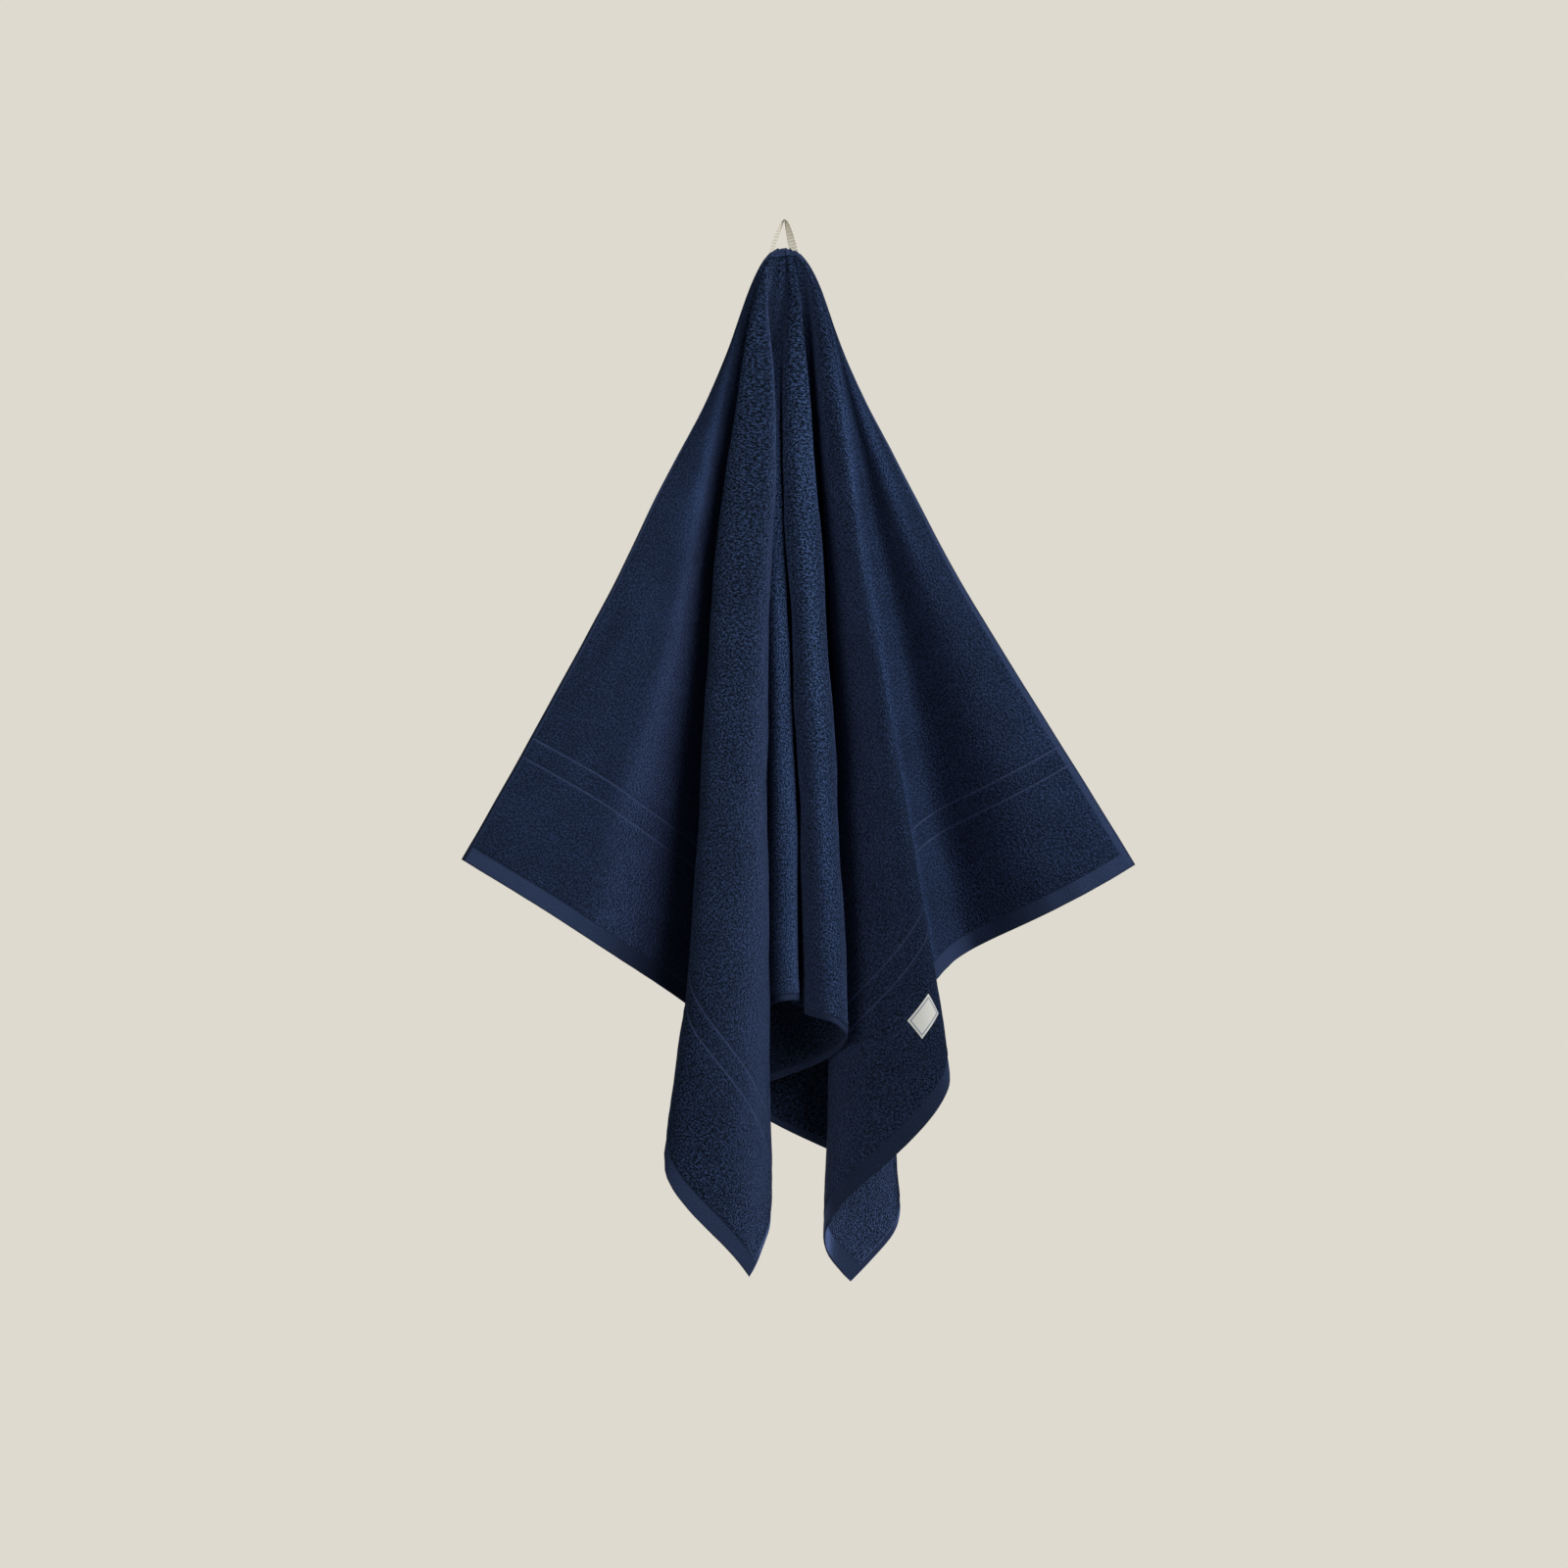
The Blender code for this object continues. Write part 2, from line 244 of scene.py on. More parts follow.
def line_length(angle):
    """Cloth from the gathered edge to the rim: the shorter way to a short or the long side."""
    turn, share = np.radians(angle), gather_share(angle)
    down, side = np.maximum(np.sin(turn), 1e-9), np.cos(turn)
    half = np.where(side > 0, LEFT_LENGTH - GATHER_HALF * share,
                    RIGHT_LENGTH + GATHER_HALF * share)
    return np.minimum(WIDTH / down, half / np.maximum(np.abs(side), 1e-9))


def flat_place(angle, distance):
    """Where a point of a line lies on the flat towel: u to the right of the loop, v down."""
    turn = np.radians(angle)
    return -(GATHER_HALF * gather_share(angle) + distance * np.cos(turn)), distance * np.sin(turn)


FOLD_ANGLES = table_column(FOLDS, FOLD_COLUMNS, "angle")
FOLD_STEPS = table_column(FOLDS, FOLD_COLUMNS, "steps").astype(int)
print("longest line %.0f mm" % line_length(np.linspace(0, 180, 721)).max())


# %% Hang the lines
# each line is cut into fine steps that close up toward the loop, and runs a hair past the rim
FINE_STEPS, STEP_POWER, PAST_RIM = 240, 1.5, 1.0005

# the hump at the long edges: how far out, how far down, how long, and how many degrees wide
EDGE_OUT, EDGE_AT, EDGE_SPAN, EDGE_DEGREES = 4.6, 235.0, 95.0, 9.0

# the least share of a step's length that goes down
LEAST_DROP = 0.2


def station_tables():
    """x and out of every fold line at every station, the stations across."""
    across = [-GATHER_HALF * gather_share(FOLD_ANGLES),
              NECK_SHIFT - NECK_RADIUS * np.cos(np.radians(FOLD_ANGLES))]
    out = [np.zeros_like(FOLD_ANGLES), table_column(FOLDS, FOLD_COLUMNS, "out_30")]
    for station in STATIONS[2:]:
        across.append(table_column(FOLDS, FOLD_COLUMNS, "x_%d" % station))
        out.append(table_column(FOLDS, FOLD_COLUMNS, "out_%d" % station))
    return np.stack(across, 1), np.stack(out, 1)


def hang(angle, distance):
    """Points of the middle of the sheet for one row of distances a line. Across and out come
    from the fold table, and a soft hump moves the two long edges a little outward below the
    neck, where they are pulled straight. Down is the running sum of what each short step has
    left over: the root of step squared, less the squares of its parts across and out."""
    across, out = station_tables()
    by_angle = spline_weights(FOLD_ANGLES, angle)
    length = (line_length(angle)[:, None] * PAST_RIM
              * np.linspace(0, 1, FINE_STEPS) ** STEP_POWER)
    by_station = spline_weights(np.array(STATIONS) ** STATION_POWER, length ** STATION_POWER)
    x = np.einsum("ik,ijk->ij", by_angle @ across, by_station)
    o = np.einsum("ik,ijk->ij", by_angle @ out, by_station)
    near_edge = (np.exp(-(angle / EDGE_DEGREES) ** 2)
                 - np.exp(-((180 - angle) / EDGE_DEGREES) ** 2))
    x = x - EDGE_OUT * near_edge[:, None] * np.exp(-((length - EDGE_AT) / EDGE_SPAN) ** 2)
    step = np.diff(length, axis=1)
    drop = np.sqrt(np.maximum(step ** 2 - np.diff(x, axis=1) ** 2 - np.diff(o, axis=1) ** 2,
                              (LEAST_DROP * step) ** 2))
    z = np.zeros_like(x)
    z[:, 1:] = -np.cumsum(drop, axis=1)
    z -= TOP_DROP + DOME_DROP * gather_share(angle)[:, None] ** 2
    lines = [np.stack([np.interp(d, full, value) for value in (xs, -os, zs)], 1)
             for d, full, xs, os, zs in zip(distance, length, x, o, z)]
    return np.stack(lines)


def unit(vectors):
    """The same directions with length 1."""
    return vectors / np.maximum(np.linalg.norm(vectors, axis=-1, keepdims=True), 1e-12)


def face_directions(grid):
    """Directions square to a grid of points, toward the face of the towel."""
    return unit(np.cross(np.gradient(grid, axis=1), np.gradient(grid, axis=0)))


print("the cloth hangs down to z = %.0f mm" % hang(np.array([46.0]), np.array([[940.0]]))[0, 0, 2])

# %% [markdown]
# ## The woven edges and the pile
# A terry towel is woven flat at its ends and along its long sides, and looped everywhere else.
# Each short side is turned over and stitched to a flat hem 16 mm wide. Two narrow flat lines
# run beside it, where the loom left the loops out. So the cloth is thick where it has pile and
# thin at its woven edges, with a short slope between. The mesh has rows at each of these
# lines, so the step is real and not only drawn.

# %% Rows and columns of the mesh
HEM_WIDE, SELVEDGE_WIDE = 16.0, 6.5
LINES_AT, LINE_WIDE = (114.0, 134.0), 2.6
PILE_HALF, HEM_HALF, LINE_HALF = 1.75, 1.0, 1.15

# distance from a short side, then from the far long side, for each pinned mesh row
PINNED_ROWS = (
    (0.0, 0.0), (0.35, 0.3), (1.1, 0.9), (2.6, 1.9), (5.0, 3.0), (7.8, 4.2), (9.3, 5.0),
    (12.0, 5.7), (14.6, 6.2), (15.6, 6.9), (16.4, 7.7), (17.6, 9.0), (21.0, 12.0),
    (26.5, 18.0), (33.0, 25.0), (40.0, 33.0), (47.0, 41.0), (54.0, 49.0), (61.0, 57.0),
    (68.0, 65.0), (75.0, 73.0), (82.0, 80.0), (88.5, 87.0), (94.5, 94.0), (100.0, 100.0),
    (105.5, 106.0), (110.0, 111.0), (112.3, 114.0), (113.0, 116.0), (114.0, 118.0),
    (115.0, 120.0), (115.7, 122.0), (119.0, 125.0), (124.0, 129.0), (129.5, 133.0),
    (132.3, 136.0), (133.0, 138.0), (134.0, 140.0), (135.0, 142.0), (135.7, 144.0),
    (139.0, 147.0), (145.0, 152.0),
)
INNER_ROWS, COLUMNS_PER_STEP, EVEN_SHARE = 76, 4, 0.35


def mesh_angles():
    """Lines of the mesh, closest where the cloth folds most, with one at each corner."""
    parts = [np.linspace(start, end, steps * COLUMNS_PER_STEP + 1)[:-1]
             for start, end, steps in zip(FOLD_ANGLES[:-1], FOLD_ANGLES[1:], FOLD_STEPS)]
    return np.concatenate(parts + [FOLD_ANGLES[-1:]])


def corner_angles():
    """The two lines that end at the far corners, where both sides are equally far."""
    fine = np.linspace(20, 160, 140001)
    u, v = flat_place(fine, line_length(fine))
    on_bottom = v > WIDTH - 1e-6
    return fine[on_bottom][0], fine[on_bottom][-1]


def towel_grid():
    """Angles of the columns and, for each, the distances of its points from the loop. The
    outer rows keep fixed distances from the nearest edge, and the inner ones close up
    toward the gathered neck."""
    angles = mesh_angles()
    corners = corner_angles()
    for corner in corners:
        angles[np.argmin(np.abs(angles - corner))] = corner
    side_reach = np.where(angles < 90, LEFT_LENGTH, RIGHT_LENGTH)
    on_side = (angles <= corners[0]) | (angles >= corners[1])
    pins = np.array(PINNED_ROWS)
    reach = np.where(on_side, side_reach, WIDTH)[:, None]
    pinned = np.where(on_side[:, None], pins[None, :, 0], pins[None, :, 1])
    outer = 1 - pinned / reach
    share = np.linspace(0, 1, INNER_ROWS + 1)[:-1]
    spread = EVEN_SHARE * share + (1 - EVEN_SHARE) * share ** 2
    inner = outer[:, -1:] * spread[None, :]
    return angles, np.concatenate([inner, outer[:, ::-1]], axis=1)


ANGLES, SHARES = towel_grid()
DISTANCES = SHARES * line_length(ANGLES)[:, None]
FLAT_U, FLAT_V = flat_place(ANGLES[:, None], DISTANCES)
print("grid:", DISTANCES.shape, "flat size %.0f x %.0f mm" % (np.ptp(FLAT_U), np.ptp(FLAT_V)))


# %% Thickness of the cloth
NEAR_LOOP, FAR_AWAY, RIM_ROUND = 60, 99.0, 1.1


def smooth(value, low, high):
    """0 below low, 1 above high, and a soft slope between."""
    t = np.clip((value - low) / (high - low), 0, 1)
    return t * t * (3 - 2 * t)


def from_short_side(u):
    """Distance on the flat towel from the nearer short side."""
    return np.where(u < 0, u + LEFT_LENGTH, RIGHT_LENGTH - u)


def from_long_side(u, v):
    """Distance from the nearer long side. Near the loop the upper one is gathered, so there
    only the far one counts."""
    return np.minimum(WIDTH - v, np.where(np.abs(u) > NEAR_LOOP, v, FAR_AWAY))


def half_thickness(u, v):
    """Half the thickness at a place of the flat towel: full in the pile, less in the hems and
    the narrow woven edges, a little less along the two woven lines, and rounded at the rim
    as a half circle is."""
    short, long_side = from_short_side(u), from_long_side(u, v)
    pile = smooth(short, HEM_WIDE - 0.6, HEM_WIDE + 1.8)
    pile = pile * smooth(long_side, SELVEDGE_WIDE - 0.5, SELVEDGE_WIDE + 2.0)
    half = HEM_HALF + (PILE_HALF - HEM_HALF) * pile
    for at in LINES_AT:
        dip = 1 - smooth(np.abs(short - at), 0.35 * LINE_WIDE, 0.8 * LINE_WIDE)
        half = half - (PILE_HALF - LINE_HALF) * dip * pile
    rim = np.clip(np.minimum(short, WIDTH - v) / RIM_ROUND, 0, 1)
    return half * np.sqrt(1 - (1 - rim) ** 2)


HALF = half_thickness(FLAT_U, FLAT_V)
print("cloth %.1f mm thick in the pile, %.1f mm in the hem" % (2 * PILE_HALF, 2 * HEM_HALF))

# %% [markdown]
# ## Small waves and marks for the pile
# The big folds come from the table. Real cloth also has faint dents a hand wide, a slight
# pucker along each stitched hem, and a pile that never lies quite level. These are sums of
# random waves on the flat towel, so both faces move together. The seeds are fixed. Two marks
# are stored on the points for the material: how sharp the crest of a fold is there, measured
# on the hung shape, which is where a painted highlight goes, and how calm the pile lies, which
# is 1 on the two side parts.

# %% Waves and level of the pile
# for each field of waves: height, length in mm and how many directions are summed
LONG_DENTS, SHORT_DENTS = (0.7, 150, 9), (0.3, 70, 9)
PUCKER, RIPPLE, SOFT_LEVEL = (0.5, 26, 6), (0.5, 34, 6), (0.6, 16, 10)

# puckers and ripples are stretched along one way by counting little of it
STRETCHED = 0.15

# the level of the pile is so much of random dice and so much of the soft waves, in full
# where the cells of the mesh are 6 mm or larger
PILE_SEED, ROUGH_SHARE, SOFT_SHARE, FULL_CELL = 41, 0.10, 0.16, 6


def wave_field(u, v, height, length, count):
    """Sum of plane waves of about one length in random directions, between about minus and
    plus the height. A length always gives the same waves, so that the label follows the
    towel."""
    dice = np.random.default_rng(int(length))
    turn, start = dice.uniform(0, 2 * np.pi, (2, count))
    number = 2 * np.pi / (length * dice.uniform(0.75, 1.4, count))
    total = np.zeros_like(u)
    for k, a, s in zip(number, turn, start):
        total = total + np.sin(k * (u * np.cos(a) + v * np.sin(a)) + s)
    return height * (total / np.sqrt(count))


def small_waves(u, v):
    """Shift of the whole sheet out of its plane, in mm, growing with distance from the loop:
    dents everywhere, a pucker along the hems and a ripple along the far long side."""
    far = smooth(np.hypot(u, v), 60, 260)
    dents = wave_field(u, v, *LONG_DENTS) + wave_field(u, v, *SHORT_DENTS)
    near_hem = 1 - smooth(from_short_side(u), 8, 40)
    pucker = wave_field(STRETCHED * u, v, *PUCKER)
    near_edge = 1 - smooth(WIDTH - v, 4, 30)
    ripple = wave_field(u, STRETCHED * v, *RIPPLE)
    return far * (dents + near_hem * pucker + near_edge * ripple)


def pile_level(u, v, cell):
    """How much higher or lower than average the pile stands at each point, in mm. It is
    less where the cells of the mesh are small, so that they don't fold over."""
    rough = np.random.default_rng(PILE_SEED).normal(0, 1, u.shape)
    soft = wave_field(u, v, *SOFT_LEVEL)
    pile = smooth(from_short_side(u), HEM_WIDE, HEM_WIDE + 3) * smooth(WIDTH - v, 6, 10)
    return pile * np.clip(cell / FULL_CELL, 0.1, 1) * (ROUGH_SHARE * rough + SOFT_SHARE * soft)


def cell_size(grid):
    """The shorter side of the mesh cell at each point."""
    down = np.linalg.norm(np.gradient(grid, axis=1), axis=-1)
    side = np.linalg.norm(np.gradient(grid, axis=0), axis=-1)
    return np.minimum(down, side)


middle = hang(ANGLES, DISTANCES)
FACE = face_directions(middle)
middle = middle + small_waves(FLAT_U, FLAT_V)[..., None] * FACE
FACE = face_directions(middle)
print("waves reach %.1f mm" % np.abs(small_waves(FLAT_U, FLAT_V)).max())


# %% Close the sheet
def closed_sheet(front, back, carried, rim_rows):
    """A closed mesh from the front and the back grid. They share the points of the rim: the
    first and last columns and the last row. The gathered end is closed by a narrow strip.
    Each carried value is a pair of grids, for the front and the back."""
    columns, rows = front.shape[:2]
    number = np.arange(columns * rows).reshape(columns, rows)
    other = number + columns * rows
    other[rim_rows] = number[rim_rows]
    points = np.concatenate([front.reshape(-1, 3), back.reshape(-1, 3)])
    quads = [np.stack([number[:-1, :-1], number[:-1, 1:], number[1:, 1:], number[1:, :-1]], -1),
             np.stack([other[:-1, :-1], other[1:, :-1], other[1:, 1:], other[:-1, 1:]], -1)]
    top = np.stack([number[:-1, 0], number[1:, 0], other[1:, 0], other[:-1, 0]], -1)
    faces = np.concatenate([q.reshape(-1, 4) for q in quads] + [top])
    kept, renumbered = np.unique(faces, return_inverse=True)
    values = {name: np.concatenate([first.ravel(), second.ravel()])[kept]
              for name, (first, second) in carried.items()}
    return points[kept], renumbered.reshape(faces.shape), values


def tidy_faces(faces):
    """Faces as lists, with a repeated corner left out where two points are one."""
    same = faces == np.roll(faces, 1, axis=1)
    whole = faces[~same.any(axis=1)].tolist()
    thin = [row[~flag].tolist() for row, flag in zip(faces[same.any(axis=1)],
                                                     same[same.any(axis=1)])]
    return whole + [row for row in thin if len(row) >= 3]


FLAT_UNIT, FLAT_START = 1400.0, (0.5, 0.1)


def cloth_object(name, points, faces, values):
    """A smooth mesh whose UV map is the flat towel: u and v in mm, divided by the flat unit,
    with the loop at the flat start. Other values become attributes of its points."""
    mesh = bpy.data.meshes.new(name)
    mesh.from_pydata((points * MM).tolist(), [], tidy_faces(faces))
    for mark in sorted(set(values) - {"u", "v"}):
        mesh.attributes.new(mark, "FLOAT", "POINT").data.foreach_set(
            "value", values[mark].astype(np.float32))
    flat = np.stack([values["u"], values["v"]], 1)
    layer = mesh.uv_layers.new(name="flat_towel")
    corner = np.empty(len(mesh.loops), np.int32)
    mesh.loops.foreach_get("vertex_index", corner)
    layer.data.foreach_set("uv", (flat[corner] / FLAT_UNIT + FLAT_START).ravel())
    mesh.polygons.foreach_set("use_smooth", [True] * len(mesh.polygons))
    mesh.update()
    return put(name, mesh)


print("the flat towel is %.2f wide in the UV map" % (np.ptp(FLAT_U) / FLAT_UNIT))


# %% Mark the crests for the painted highlight
CREST_SPREAD, BEND_LOW, BEND_HIGH = 4, 0.03, 0.11


def crest(grid, out):
    """How sharply the sheet bends away from one of its sides, across the fold lines: the
    change of direction for each millimetre, 0 where it is flat or hollow. It is then
    spread over the columns beside it by a weighted mean, and fades out toward the neck.
    The material paints a highlight where this mark is high."""
    step = np.diff(grid, axis=0)
    length = np.maximum(np.linalg.norm(step, axis=-1, keepdims=True), 0.05)
    turn = np.diff(unit(step), axis=0) / (0.5 * (length[1:] + length[:-1]))
    bend = np.pad(-np.sum(turn * out[1:-1], axis=-1), ((1, 1), (0, 0)), mode="edge")
    mark = smooth(bend, BEND_LOW, BEND_HIGH)
    weights = np.hanning(2 * CREST_SPREAD + 3)[1:-1]
    spread = sum(weight * np.roll(mark, shift, axis=0) for shift, weight in
                 zip(range(-CREST_SPREAD, CREST_SPREAD + 1), weights / weights.sum()))
    return spread * smooth(grid[..., 2], -60, -260)


# the crest mark is where the material paints a highlight on the folds
highlight_marks = (crest(middle, FACE), crest(middle, -FACE))
print("crests on %.1f%% of the face" % (100 * (highlight_marks[0] > 0.5).mean()))

# %% The towel sheet
CALM_FROM, CALM_TO = 46, 66
rim = np.zeros(DISTANCES.shape, bool)
rim[0, :] = rim[-1, :] = rim[:, -1] = True
edge_round = HALF.copy()
edge_round[0, :] = edge_round[-1, :] = edge_round[:, -1] = 0
level = edge_round + ~rim * pile_level(FLAT_U, FLAT_V, cell_size(middle))
front = middle + level[..., None] * FACE
back = middle - level[..., None] * FACE
calm = smooth(np.abs(ANGLES - 90), CALM_FROM, CALM_TO)[:, None] + 0 * FLAT_U
towel = cloth_object("towel_sheet", *closed_sheet(front, back, {
    "u": (FLAT_U, FLAT_U), "v": (FLAT_V, FLAT_V), "calm": (calm, calm), "crest": highlight_marks}, rim))
print("towel:", len(towel.data.vertices), "points,", len(towel.data.polygons), "faces")

# %% [markdown]
# ## Terry pile
# The real cloth is cotton terry: thousands of small yarn loops that stand up from the weave.
# They scatter light every way and hold shade between them, so the cloth is matt, looks
# speckled from near and paler where it turns away, as each loop's side catches the light. A
# sheen does that last part. A loop is hardly wider than one pixel here, so single loops are
# drawn weakly, 1.8 mm wide, and the clumps that neighbouring loops form more strongly, 2.5 mm
# wide, and the shade between them is painted: the low parts of the pile get a dark colour.
# Three more things are seen on the real cloth. The crest of a sharp fold looks paler, and a
# painted highlight along each crest does that. The loops lie closer on the flat side parts,
# where the speckle is weak.
# And they all lean the same way, toward the far long side, so that light from the right makes
# the left side paler than the right: a first bump, an even slope of the flat towel, tilts the
# surface for that. The woven hems have no loops: they are smoother and a little paler, with a
# finer grain.

# %% Small steps of nodes
def connect(tree, node, index, value):
    """Link a socket to an input, or set the input where the value is a number or a colour."""
    if isinstance(value, str):
        node.inputs[index].default_value = linear(value)
    elif isinstance(value, float):
        node.inputs[index].default_value = value
    else:
        tree.links.new(value, node.inputs[index])


def combine(tree, operation, *values):
    """One step of arithmetic with sockets and numbers."""
    node = add(tree, "ShaderNodeMath", operation=operation)
    for index, value in enumerate(values):
        connect(tree, node, index, value)
    return node.outputs["Value"]


def mapped(tree, socket, low, high, start, end):
    """The range from low to high, moved to run from start to end and held there."""
    node = add(tree, "ShaderNodeMapRange", [("Value", socket)], inputs={
        "From Min": low, "From Max": high, "To Min": start, "To Max": end})
    return node.outputs["Result"]


def mixed(tree, share, first, second):
    """The first colour where the share is 0, the second where it is 1."""
    node = add(tree, "ShaderNodeMix", data_type="RGBA")
    for index, value in ((0, share), (6, first), (7, second)):
        connect(tree, node, index, value)
    return node.outputs[2]


def ramp(tree, socket, *stops):
    """Colours between stops, each a place from 0 to 1 and a colour."""
    node = add(tree, "ShaderNodeValToRGB", [("Fac", socket)])
    elements = node.color_ramp.elements
    for element, (place, colour) in zip(elements, (stops[0], stops[-1])):
        element.position = place
        element.color = linear(colour)
    for place, colour in stops[1:-1]:
        elements.new(place).color = linear(colour)
    return node.outputs["Color"]


def noise(tree, place, wide, detail, roughness=0.5):
    """Noise on the flat towel with grains of about one width, in mm."""
    node = add(tree, "ShaderNodeTexNoise", [("Vector", place)], noise_dimensions="2D",
               inputs={"Scale": FLAT_UNIT / wide, "Detail": detail, "Roughness": roughness})
    return node.outputs["Fac"]


def flat_sockets(tree):
    """The UV map that holds the flat towel, and u and v in mm read from it."""
    place = add(tree, "ShaderNodeUVMap", uv_map="flat_towel").outputs["UV"]
    split = add(tree, "ShaderNodeSeparateXYZ", [("Vector", place)])
    u, v = (combine(tree, "MULTIPLY", combine(tree, "SUBTRACT", split.outputs[axis], start),
                    FLAT_UNIT) for axis, start in zip("XY", FLAT_START))
    return place, u, v


print("node steps ready, one unit of the flat towel is", FLAT_UNIT, "mm")

# %% Terry parts
CLUMP_WIDE, LOOP_WIDE, DRIFT_WIDE, WEAVE_WIDE = 2.5, 1.8, 46.0, 1.3
LOOP_DEPTH, LINE_DEPTH, BUMP_DEPTH = 0.45, 0.55, 2.0
# the crest gain is how much lighter the painted highlight makes the fold crests
NAP_SLOPE, CREST_HIGHLIGHT_GAIN, CALM_SHARE, WOVEN_RELIEF = 0.75, 1.7, 0.34, 0.15
MASK_SOFT = 0.7


def flat_masks(tree, u, v):
    """Sockets that are 1 in the hems and woven edges, and 1 on the two woven lines."""
    short = combine(tree, "MINIMUM", combine(tree, "ADD", u, LEFT_LENGTH),
                    combine(tree, "SUBTRACT", RIGHT_LENGTH, u))
    long_side = combine(tree, "MINIMUM", combine(tree, "SUBTRACT", WIDTH, v), v)
    hem = mapped(tree, short, HEM_WIDE - MASK_SOFT, HEM_WIDE + MASK_SOFT, 1.0, 0.0)
    edge = mapped(tree, long_side, SELVEDGE_WIDE - MASK_SOFT, SELVEDGE_WIDE + MASK_SOFT,
                  1.0, 0.0)
    lines = 0.0
    for at in LINES_AT:
        away = combine(tree, "ABSOLUTE", combine(tree, "SUBTRACT", short, at))
        line = mapped(tree, away, 0.5, 0.5 * LINE_WIDE + 0.3, 1.0, 0.0)
        lines = combine(tree, "ADD", line, lines)
    return combine(tree, "MAXIMUM", hem, edge), lines


def pile_height(tree, place):
    """Clumps of loops, lower by a share of the distance from the middle of each loop."""
    loops = add(tree, "ShaderNodeTexVoronoi", [("Vector", place)], voronoi_dimensions="2D",
                inputs={"Scale": FLAT_UNIT / LOOP_WIDE, "Randomness": 1.0})
    return combine(tree, "ADD", noise(tree, place, CLUMP_WIDE, 2.0, 0.75),
                   combine(tree, "MULTIPLY", loops.outputs["Distance"], -LOOP_DEPTH))


def terry_colour(tree, place, height, calm, woven, lines):
    """The pile is dark where it is low, which is painted shade between the loops, evener where it
    is calm and lighter where the sheet bends sharply outward, which is a painted highlight, and
    it drifts a little from place to place. The woven parts have their own colours."""
    # painted shade: the low parts of the pile get the darkest colour, for the shade between the
    # loops
    pile = ramp(tree, height, (0.14, "#060e18"), (0.30, "#141e33"), (0.50, "#293959"))
    drift = mapped(tree, noise(tree, place, DRIFT_WIDE, 3.0, 0.6), 0.3, 0.7, 0.86, 1.14)
    # painted highlight: the pile colour is made lighter where the sheet bends sharply outward,
    # along the fold crests
    highlight_mark = add(tree, "ShaderNodeAttribute", attribute_name="crest").outputs["Fac"]
    drift_and_highlight = combine(tree, "MULTIPLY_ADD", highlight_mark, CREST_HIGHLIGHT_GAIN, drift)
    scaled = add(tree, "ShaderNodeVectorMath", [
        ("Vector", mixed(tree, calm, pile, "#1a2540")), ("Scale", drift_and_highlight)], operation="SCALE")
    weave = ramp(tree, noise(tree, place, WEAVE_WIDE, 2.0), (0.3, "#1f2a44"), (0.7, "#2b3856"))
    hemmed = mixed(tree, woven, scaled.outputs["Vector"], weave)
    return mixed(tree, lines, hemmed, "#2c3856")


def terry_relief(tree, height, calm, woven, lines):
    """The height of the pile, weaker where it is calm and weakest in the woven parts, with
    the two woven lines cut in."""
    kept = mapped(tree, woven, 0.0, 1.0, 1.0, WOVEN_RELIEF)
    lively = combine(tree, "MULTIPLY_ADD", calm, -1.0, 1.0)
    relief = combine(tree, "MULTIPLY", combine(tree, "MULTIPLY", height, kept), lively)
    return combine(tree, "MULTIPLY_ADD", lines, -LINE_DEPTH, relief)


print("pile clumps", CLUMP_WIDE, "mm and loops", LOOP_WIDE, "mm wide")


# %% Terry material
def terry_material():
    """Cotton terry, piece dyed navy: rough yarn, so it has no gloss, only a weak sheen. The
    first bump is the even slope of the leaning pile, the second the pile itself."""
    material, tree, shader = blank_material("cotton_terry_navy")
    place, u, v = flat_sockets(tree)
    woven, lines = flat_masks(tree, u, v)
    height = pile_height(tree, place)
    calm_mark = add(tree, "ShaderNodeAttribute", attribute_name="calm").outputs["Fac"]
    calm = combine(tree, "MULTIPLY", calm_mark, CALM_SHARE)
    colour = terry_colour(tree, place, height, calm, woven, lines)
    tree.links.new(colour, shader.inputs["Base Color"])
    slope = combine(tree, "MULTIPLY", v, -NAP_SLOPE * MM)
    lean = add(tree, "ShaderNodeBump", [("Height", slope)],
               inputs={"Strength": 1.0, "Distance": 1.0})
    relief = terry_relief(tree, height, calm, woven, lines)
    bump = add(tree, "ShaderNodeBump", [("Height", relief), ("Normal", lean.outputs["Normal"])],
               inputs={"Strength": 0.9, "Distance": BUMP_DEPTH * MM})
    tree.links.new(bump.outputs["Normal"], shader.inputs["Normal"])
    shader.inputs["Roughness"].default_value = 0.95
    shader.inputs["Specular IOR Level"].default_value = 0.05
    shader.inputs["Sheen Weight"].default_value = 0.3
    shader.inputs["Sheen Roughness"].default_value = 0.25
    shader.inputs["Sheen Tint"].default_value = linear("#7c98e0")
    return material


towel.data.materials.append(terry_material())
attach(towel, "root")
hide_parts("towel")
print("terry material with", len(towel.data.materials[0].node_tree.nodes), "nodes")

# %% [markdown]
# ## The label
# A small woven label is sewn flat on the face of the towel near one hem. It is a rectangle of
# white satin tape with a thin border line and a bare middle. It follows the cloth under it, so
# it is made from the same hung surface, lifted just clear of the pile, with rounded edges.

# %% Label shape
LABEL_U, LABEL_V, LABEL_ALONG, LABEL_ACROSS = 606.0, 430.0, 36.0, 23.0
LABEL_THICK, LABEL_LIFT, LABEL_POWER = 0.6, 0.65, 24


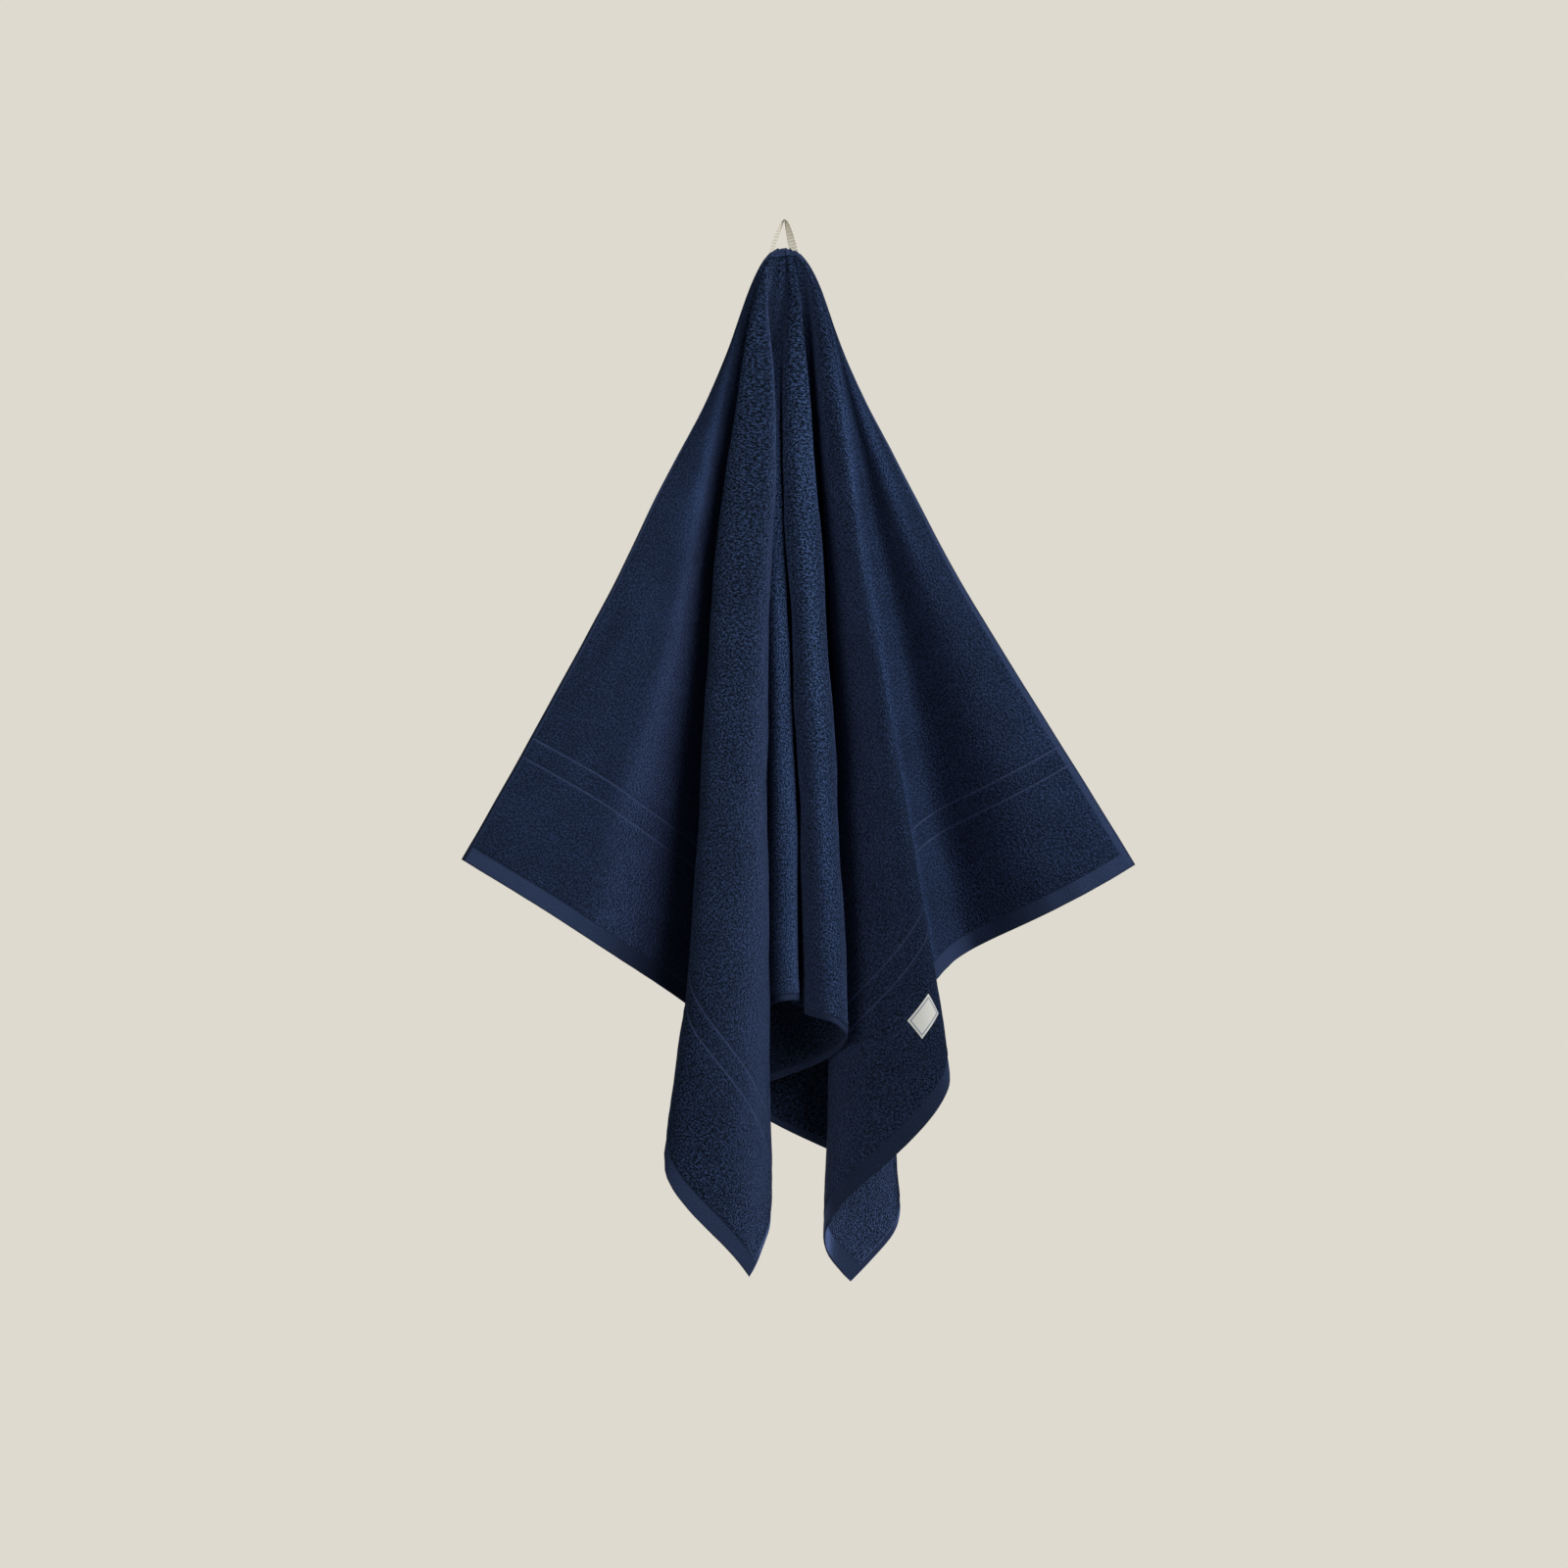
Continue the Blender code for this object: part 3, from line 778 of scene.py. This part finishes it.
def line_of(u, v):
    """Angle and distance of places on the flat towel, found by repeating the step from a
    place to its angle, because the gathered edge moves the start of each line a little."""
    angle = np.degrees(np.arctan2(v, -u))
    for _ in range(30):
        angle = np.degrees(np.arctan2(v, -u - GATHER_HALF * gather_share(angle)))
    return angle, v / np.sin(np.radians(angle))


def patch(u, v):
    """Points of the hung cloth at a grid of places on the flat towel."""
    angle, distance = line_of(u.ravel(), v.ravel())
    return hang(angle, distance[:, None]).reshape(u.shape + (3,))


def label_sheet(columns=46, rows=64):
    """A flat piece with round edges. Half its thickness is scaled by the root of a product:
    one minus a high power of the place across, times the same for the place along."""
    a = np.sin(np.linspace(-np.pi / 2, np.pi / 2, columns))
    b = np.sin(np.linspace(-np.pi / 2, np.pi / 2, rows))
    a, b = np.meshgrid(a, b, indexing="ij")
    u, v = LABEL_U + a * LABEL_ACROSS / 2, LABEL_V + b * LABEL_ALONG / 2
    base = patch(u, v)
    out = face_directions(base)
    round_off = np.clip((1 - a ** LABEL_POWER) * (1 - b ** LABEL_POWER), 0, 1)
    half = LABEL_THICK / 2 * np.sqrt(round_off)
    lift = PILE_HALF + LABEL_LIFT + small_waves(u, v)
    upper = base + (lift + half)[..., None] * out
    lower = base + (lift - half)[..., None] * out
    edge = (np.abs(a) > 1 - 1e-9) | (np.abs(b) > 1 - 1e-9)
    return upper, lower, u, v, edge


upper, lower, label_u, label_v, label_edge = label_sheet()
label = cloth_object("woven_label", *closed_sheet(upper, lower, {
    "u": (label_u, label_u), "v": (label_v, label_v)}, label_edge))
print("label", len(label.data.polygons), "faces")


# %% Label material
BORDER_IN, THREAD_WIDE = 2.6, 0.9


def label_material():
    """White polyester satin weave with a thin blue-grey border, and a bare middle. The border
    runs at an even distance inside the nearest edge."""
    material, tree, shader = blank_material("woven_satin_white")
    place, u, v = flat_sockets(tree)
    inside = []
    for socket, centre, size in ((u, LABEL_U, LABEL_ACROSS), (v, LABEL_V, LABEL_ALONG)):
        away = combine(tree, "ABSOLUTE", combine(tree, "SUBTRACT", socket, centre))
        inside.append(combine(tree, "SUBTRACT", size / 2, away))
    nearest = combine(tree, "MINIMUM", *inside)
    off = combine(tree, "ABSOLUTE", combine(tree, "SUBTRACT", nearest, BORDER_IN))
    border = mapped(tree, off, 0.3, 0.7, 1.0, 0.0)
    threads = noise(tree, place, THREAD_WIDE, 2.0)
    tone = ramp(tree, threads, (0.0, "#929594"), (1.0, "#afb2b0"))
    tree.links.new(mixed(tree, border, tone, "#4d5871"), shader.inputs["Base Color"])
    bump = add(tree, "ShaderNodeBump", [("Height", threads)],
               inputs={"Strength": 0.35, "Distance": 0.3 * MM})
    tree.links.new(bump.outputs["Normal"], shader.inputs["Normal"])
    shader.inputs["Roughness"].default_value = 0.55
    shader.inputs["Specular IOR Level"].default_value = 0.35
    return material


label.data.materials.append(label_material())
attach(label, "root")
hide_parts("label")
print("label material ready")

# %% [markdown]
# ## The hang loop
# The loop is one length of pale woven tape. Its two ends are sewn behind the gathered edge,
# and the weight of the towel pulls its top into a narrow bend over the hook. One leg is seen
# edge-on and the other turns its face to the front. So the tape is a flat strip that is
# carried along a line and turned about it on the way.

# %% Loop shape
TAPE_COLUMNS = ("x", "out", "z", "turn")
TAPE_PATH = (
    (-7.0, -5.4, -47.0, 0.0),
    (-10.5, -6.6, -42.0, 25.0),
    (-12.8, -8.6, -36.0, 60.0),
    (-11.2, -7.4, -27.0, 68.0),
    (-8.0, -4.4, -17.0, 70.0),
    (-4.2, -1.6, -7.5, 72.0),
    (-1.6, -0.4, -1.8, 80.0),
    (0.4, 0.0, -0.4, 92.0),
    (2.2, -0.2, -2.2, 106.0),
    (4.0, -0.9, -7.5, 122.0),
    (6.6, -2.6, -17.0, 138.0),
    (9.2, -4.6, -27.0, 150.0),
    (10.6, -6.2, -36.0, 162.0),
    (9.6, -6.0, -42.0, 172.0),
    (8.0, -5.4, -47.0, 180.0),
)
TAPE_WIDE, TAPE_THICK, TAPE_POWER = 10.0, 0.85, 10


def tape_strip(along_count=150, across_count=25):
    """The middle line moved sideways by the place across the tape, then out and in by half
    the thickness times the root of one minus a high power of that place."""
    knots = np.arange(len(TAPE_PATH), dtype=float)
    weights = spline_weights(knots, np.linspace(0, knots[-1], along_count))
    x, out, z, turn = (weights @ table_column(TAPE_PATH, TAPE_COLUMNS, name)
                       for name in TAPE_COLUMNS)
    line = np.stack([x, -out, z], 1)
    along = unit(np.gradient(line, axis=0))
    side = np.stack([np.cos(np.radians(turn)), np.sin(np.radians(turn)), 0 * turn], 1)
    side = unit(side - along * np.sum(side * along, axis=1, keepdims=True))
    up = np.cross(along, side)
    place = np.sin(np.linspace(-np.pi / 2, np.pi / 2, across_count))
    half = TAPE_THICK / 2 * np.sqrt(np.clip(1 - place ** TAPE_POWER, 0, 1))
    run = np.concatenate([[0], np.cumsum(np.linalg.norm(np.diff(line, axis=0), axis=1))])
    centre = line[:, None] + TAPE_WIDE / 2 * place[None, :, None] * side[:, None]
    shift = half[None, :, None] * up[:, None]
    grids = np.meshgrid(run, TAPE_WIDE / 2 * place, indexing="ij")
    return centre + shift, centre - shift, grids[0], grids[1]


tape_up, tape_down, tape_run, tape_place = tape_strip()
tape_rim = np.zeros(tape_run.shape, bool)
tape_rim[:, 0] = tape_rim[:, -1] = True
tape_rim[0, :] = tape_rim[-1, :] = True
flat_end = (tape_up + tape_down) / 2
tape_up[tape_rim], tape_down[tape_rim] = flat_end[tape_rim], flat_end[tape_rim]
loop = cloth_object("hang_loop_tape", *closed_sheet(tape_up, tape_down, {
    "u": (tape_run, tape_run), "v": (tape_place, tape_place)}, tape_rim))
print("tape %.0f mm long" % tape_run.max(), len(loop.data.polygons), "faces")


# %% Loop material
RIB_WIDE = 1.5


def tape_material():
    """Off-white cotton tape in a plain weave with fine ribs across it. The ribs and the gaps
    between them are equally wide: half a turn of the wave each, and the wave turns through
    20 for each unit of its scale."""
    material, tree, shader = blank_material("woven_cotton_tape")
    place = add(tree, "ShaderNodeUVMap", uv_map="flat_towel").outputs["UV"]
    ribs = add(tree, "ShaderNodeTexWave", [("Vector", place)],
               wave_type="BANDS", bands_direction="X",
               inputs={"Scale": FLAT_UNIT / RIB_WIDE / 20 * np.pi, "Distortion": 1.2,
                       "Detail": 1.0, "Detail Scale": 2.0}).outputs["Fac"]
    tone = ramp(tree, ribs, (0.0, "#bdbbb1"), (1.0, "#d2d0c6"))
    tree.links.new(tone, shader.inputs["Base Color"])
    bump = add(tree, "ShaderNodeBump", [("Height", ribs)],
               inputs={"Strength": 0.5, "Distance": 0.25 * MM})
    tree.links.new(bump.outputs["Normal"], shader.inputs["Normal"])
    shader.inputs["Roughness"].default_value = 0.8
    shader.inputs["Specular IOR Level"].default_value = 0.25
    return material


loop.data.materials.append(tape_material())
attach(loop, "root")
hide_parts("hang_loop")
print("loop material ready")
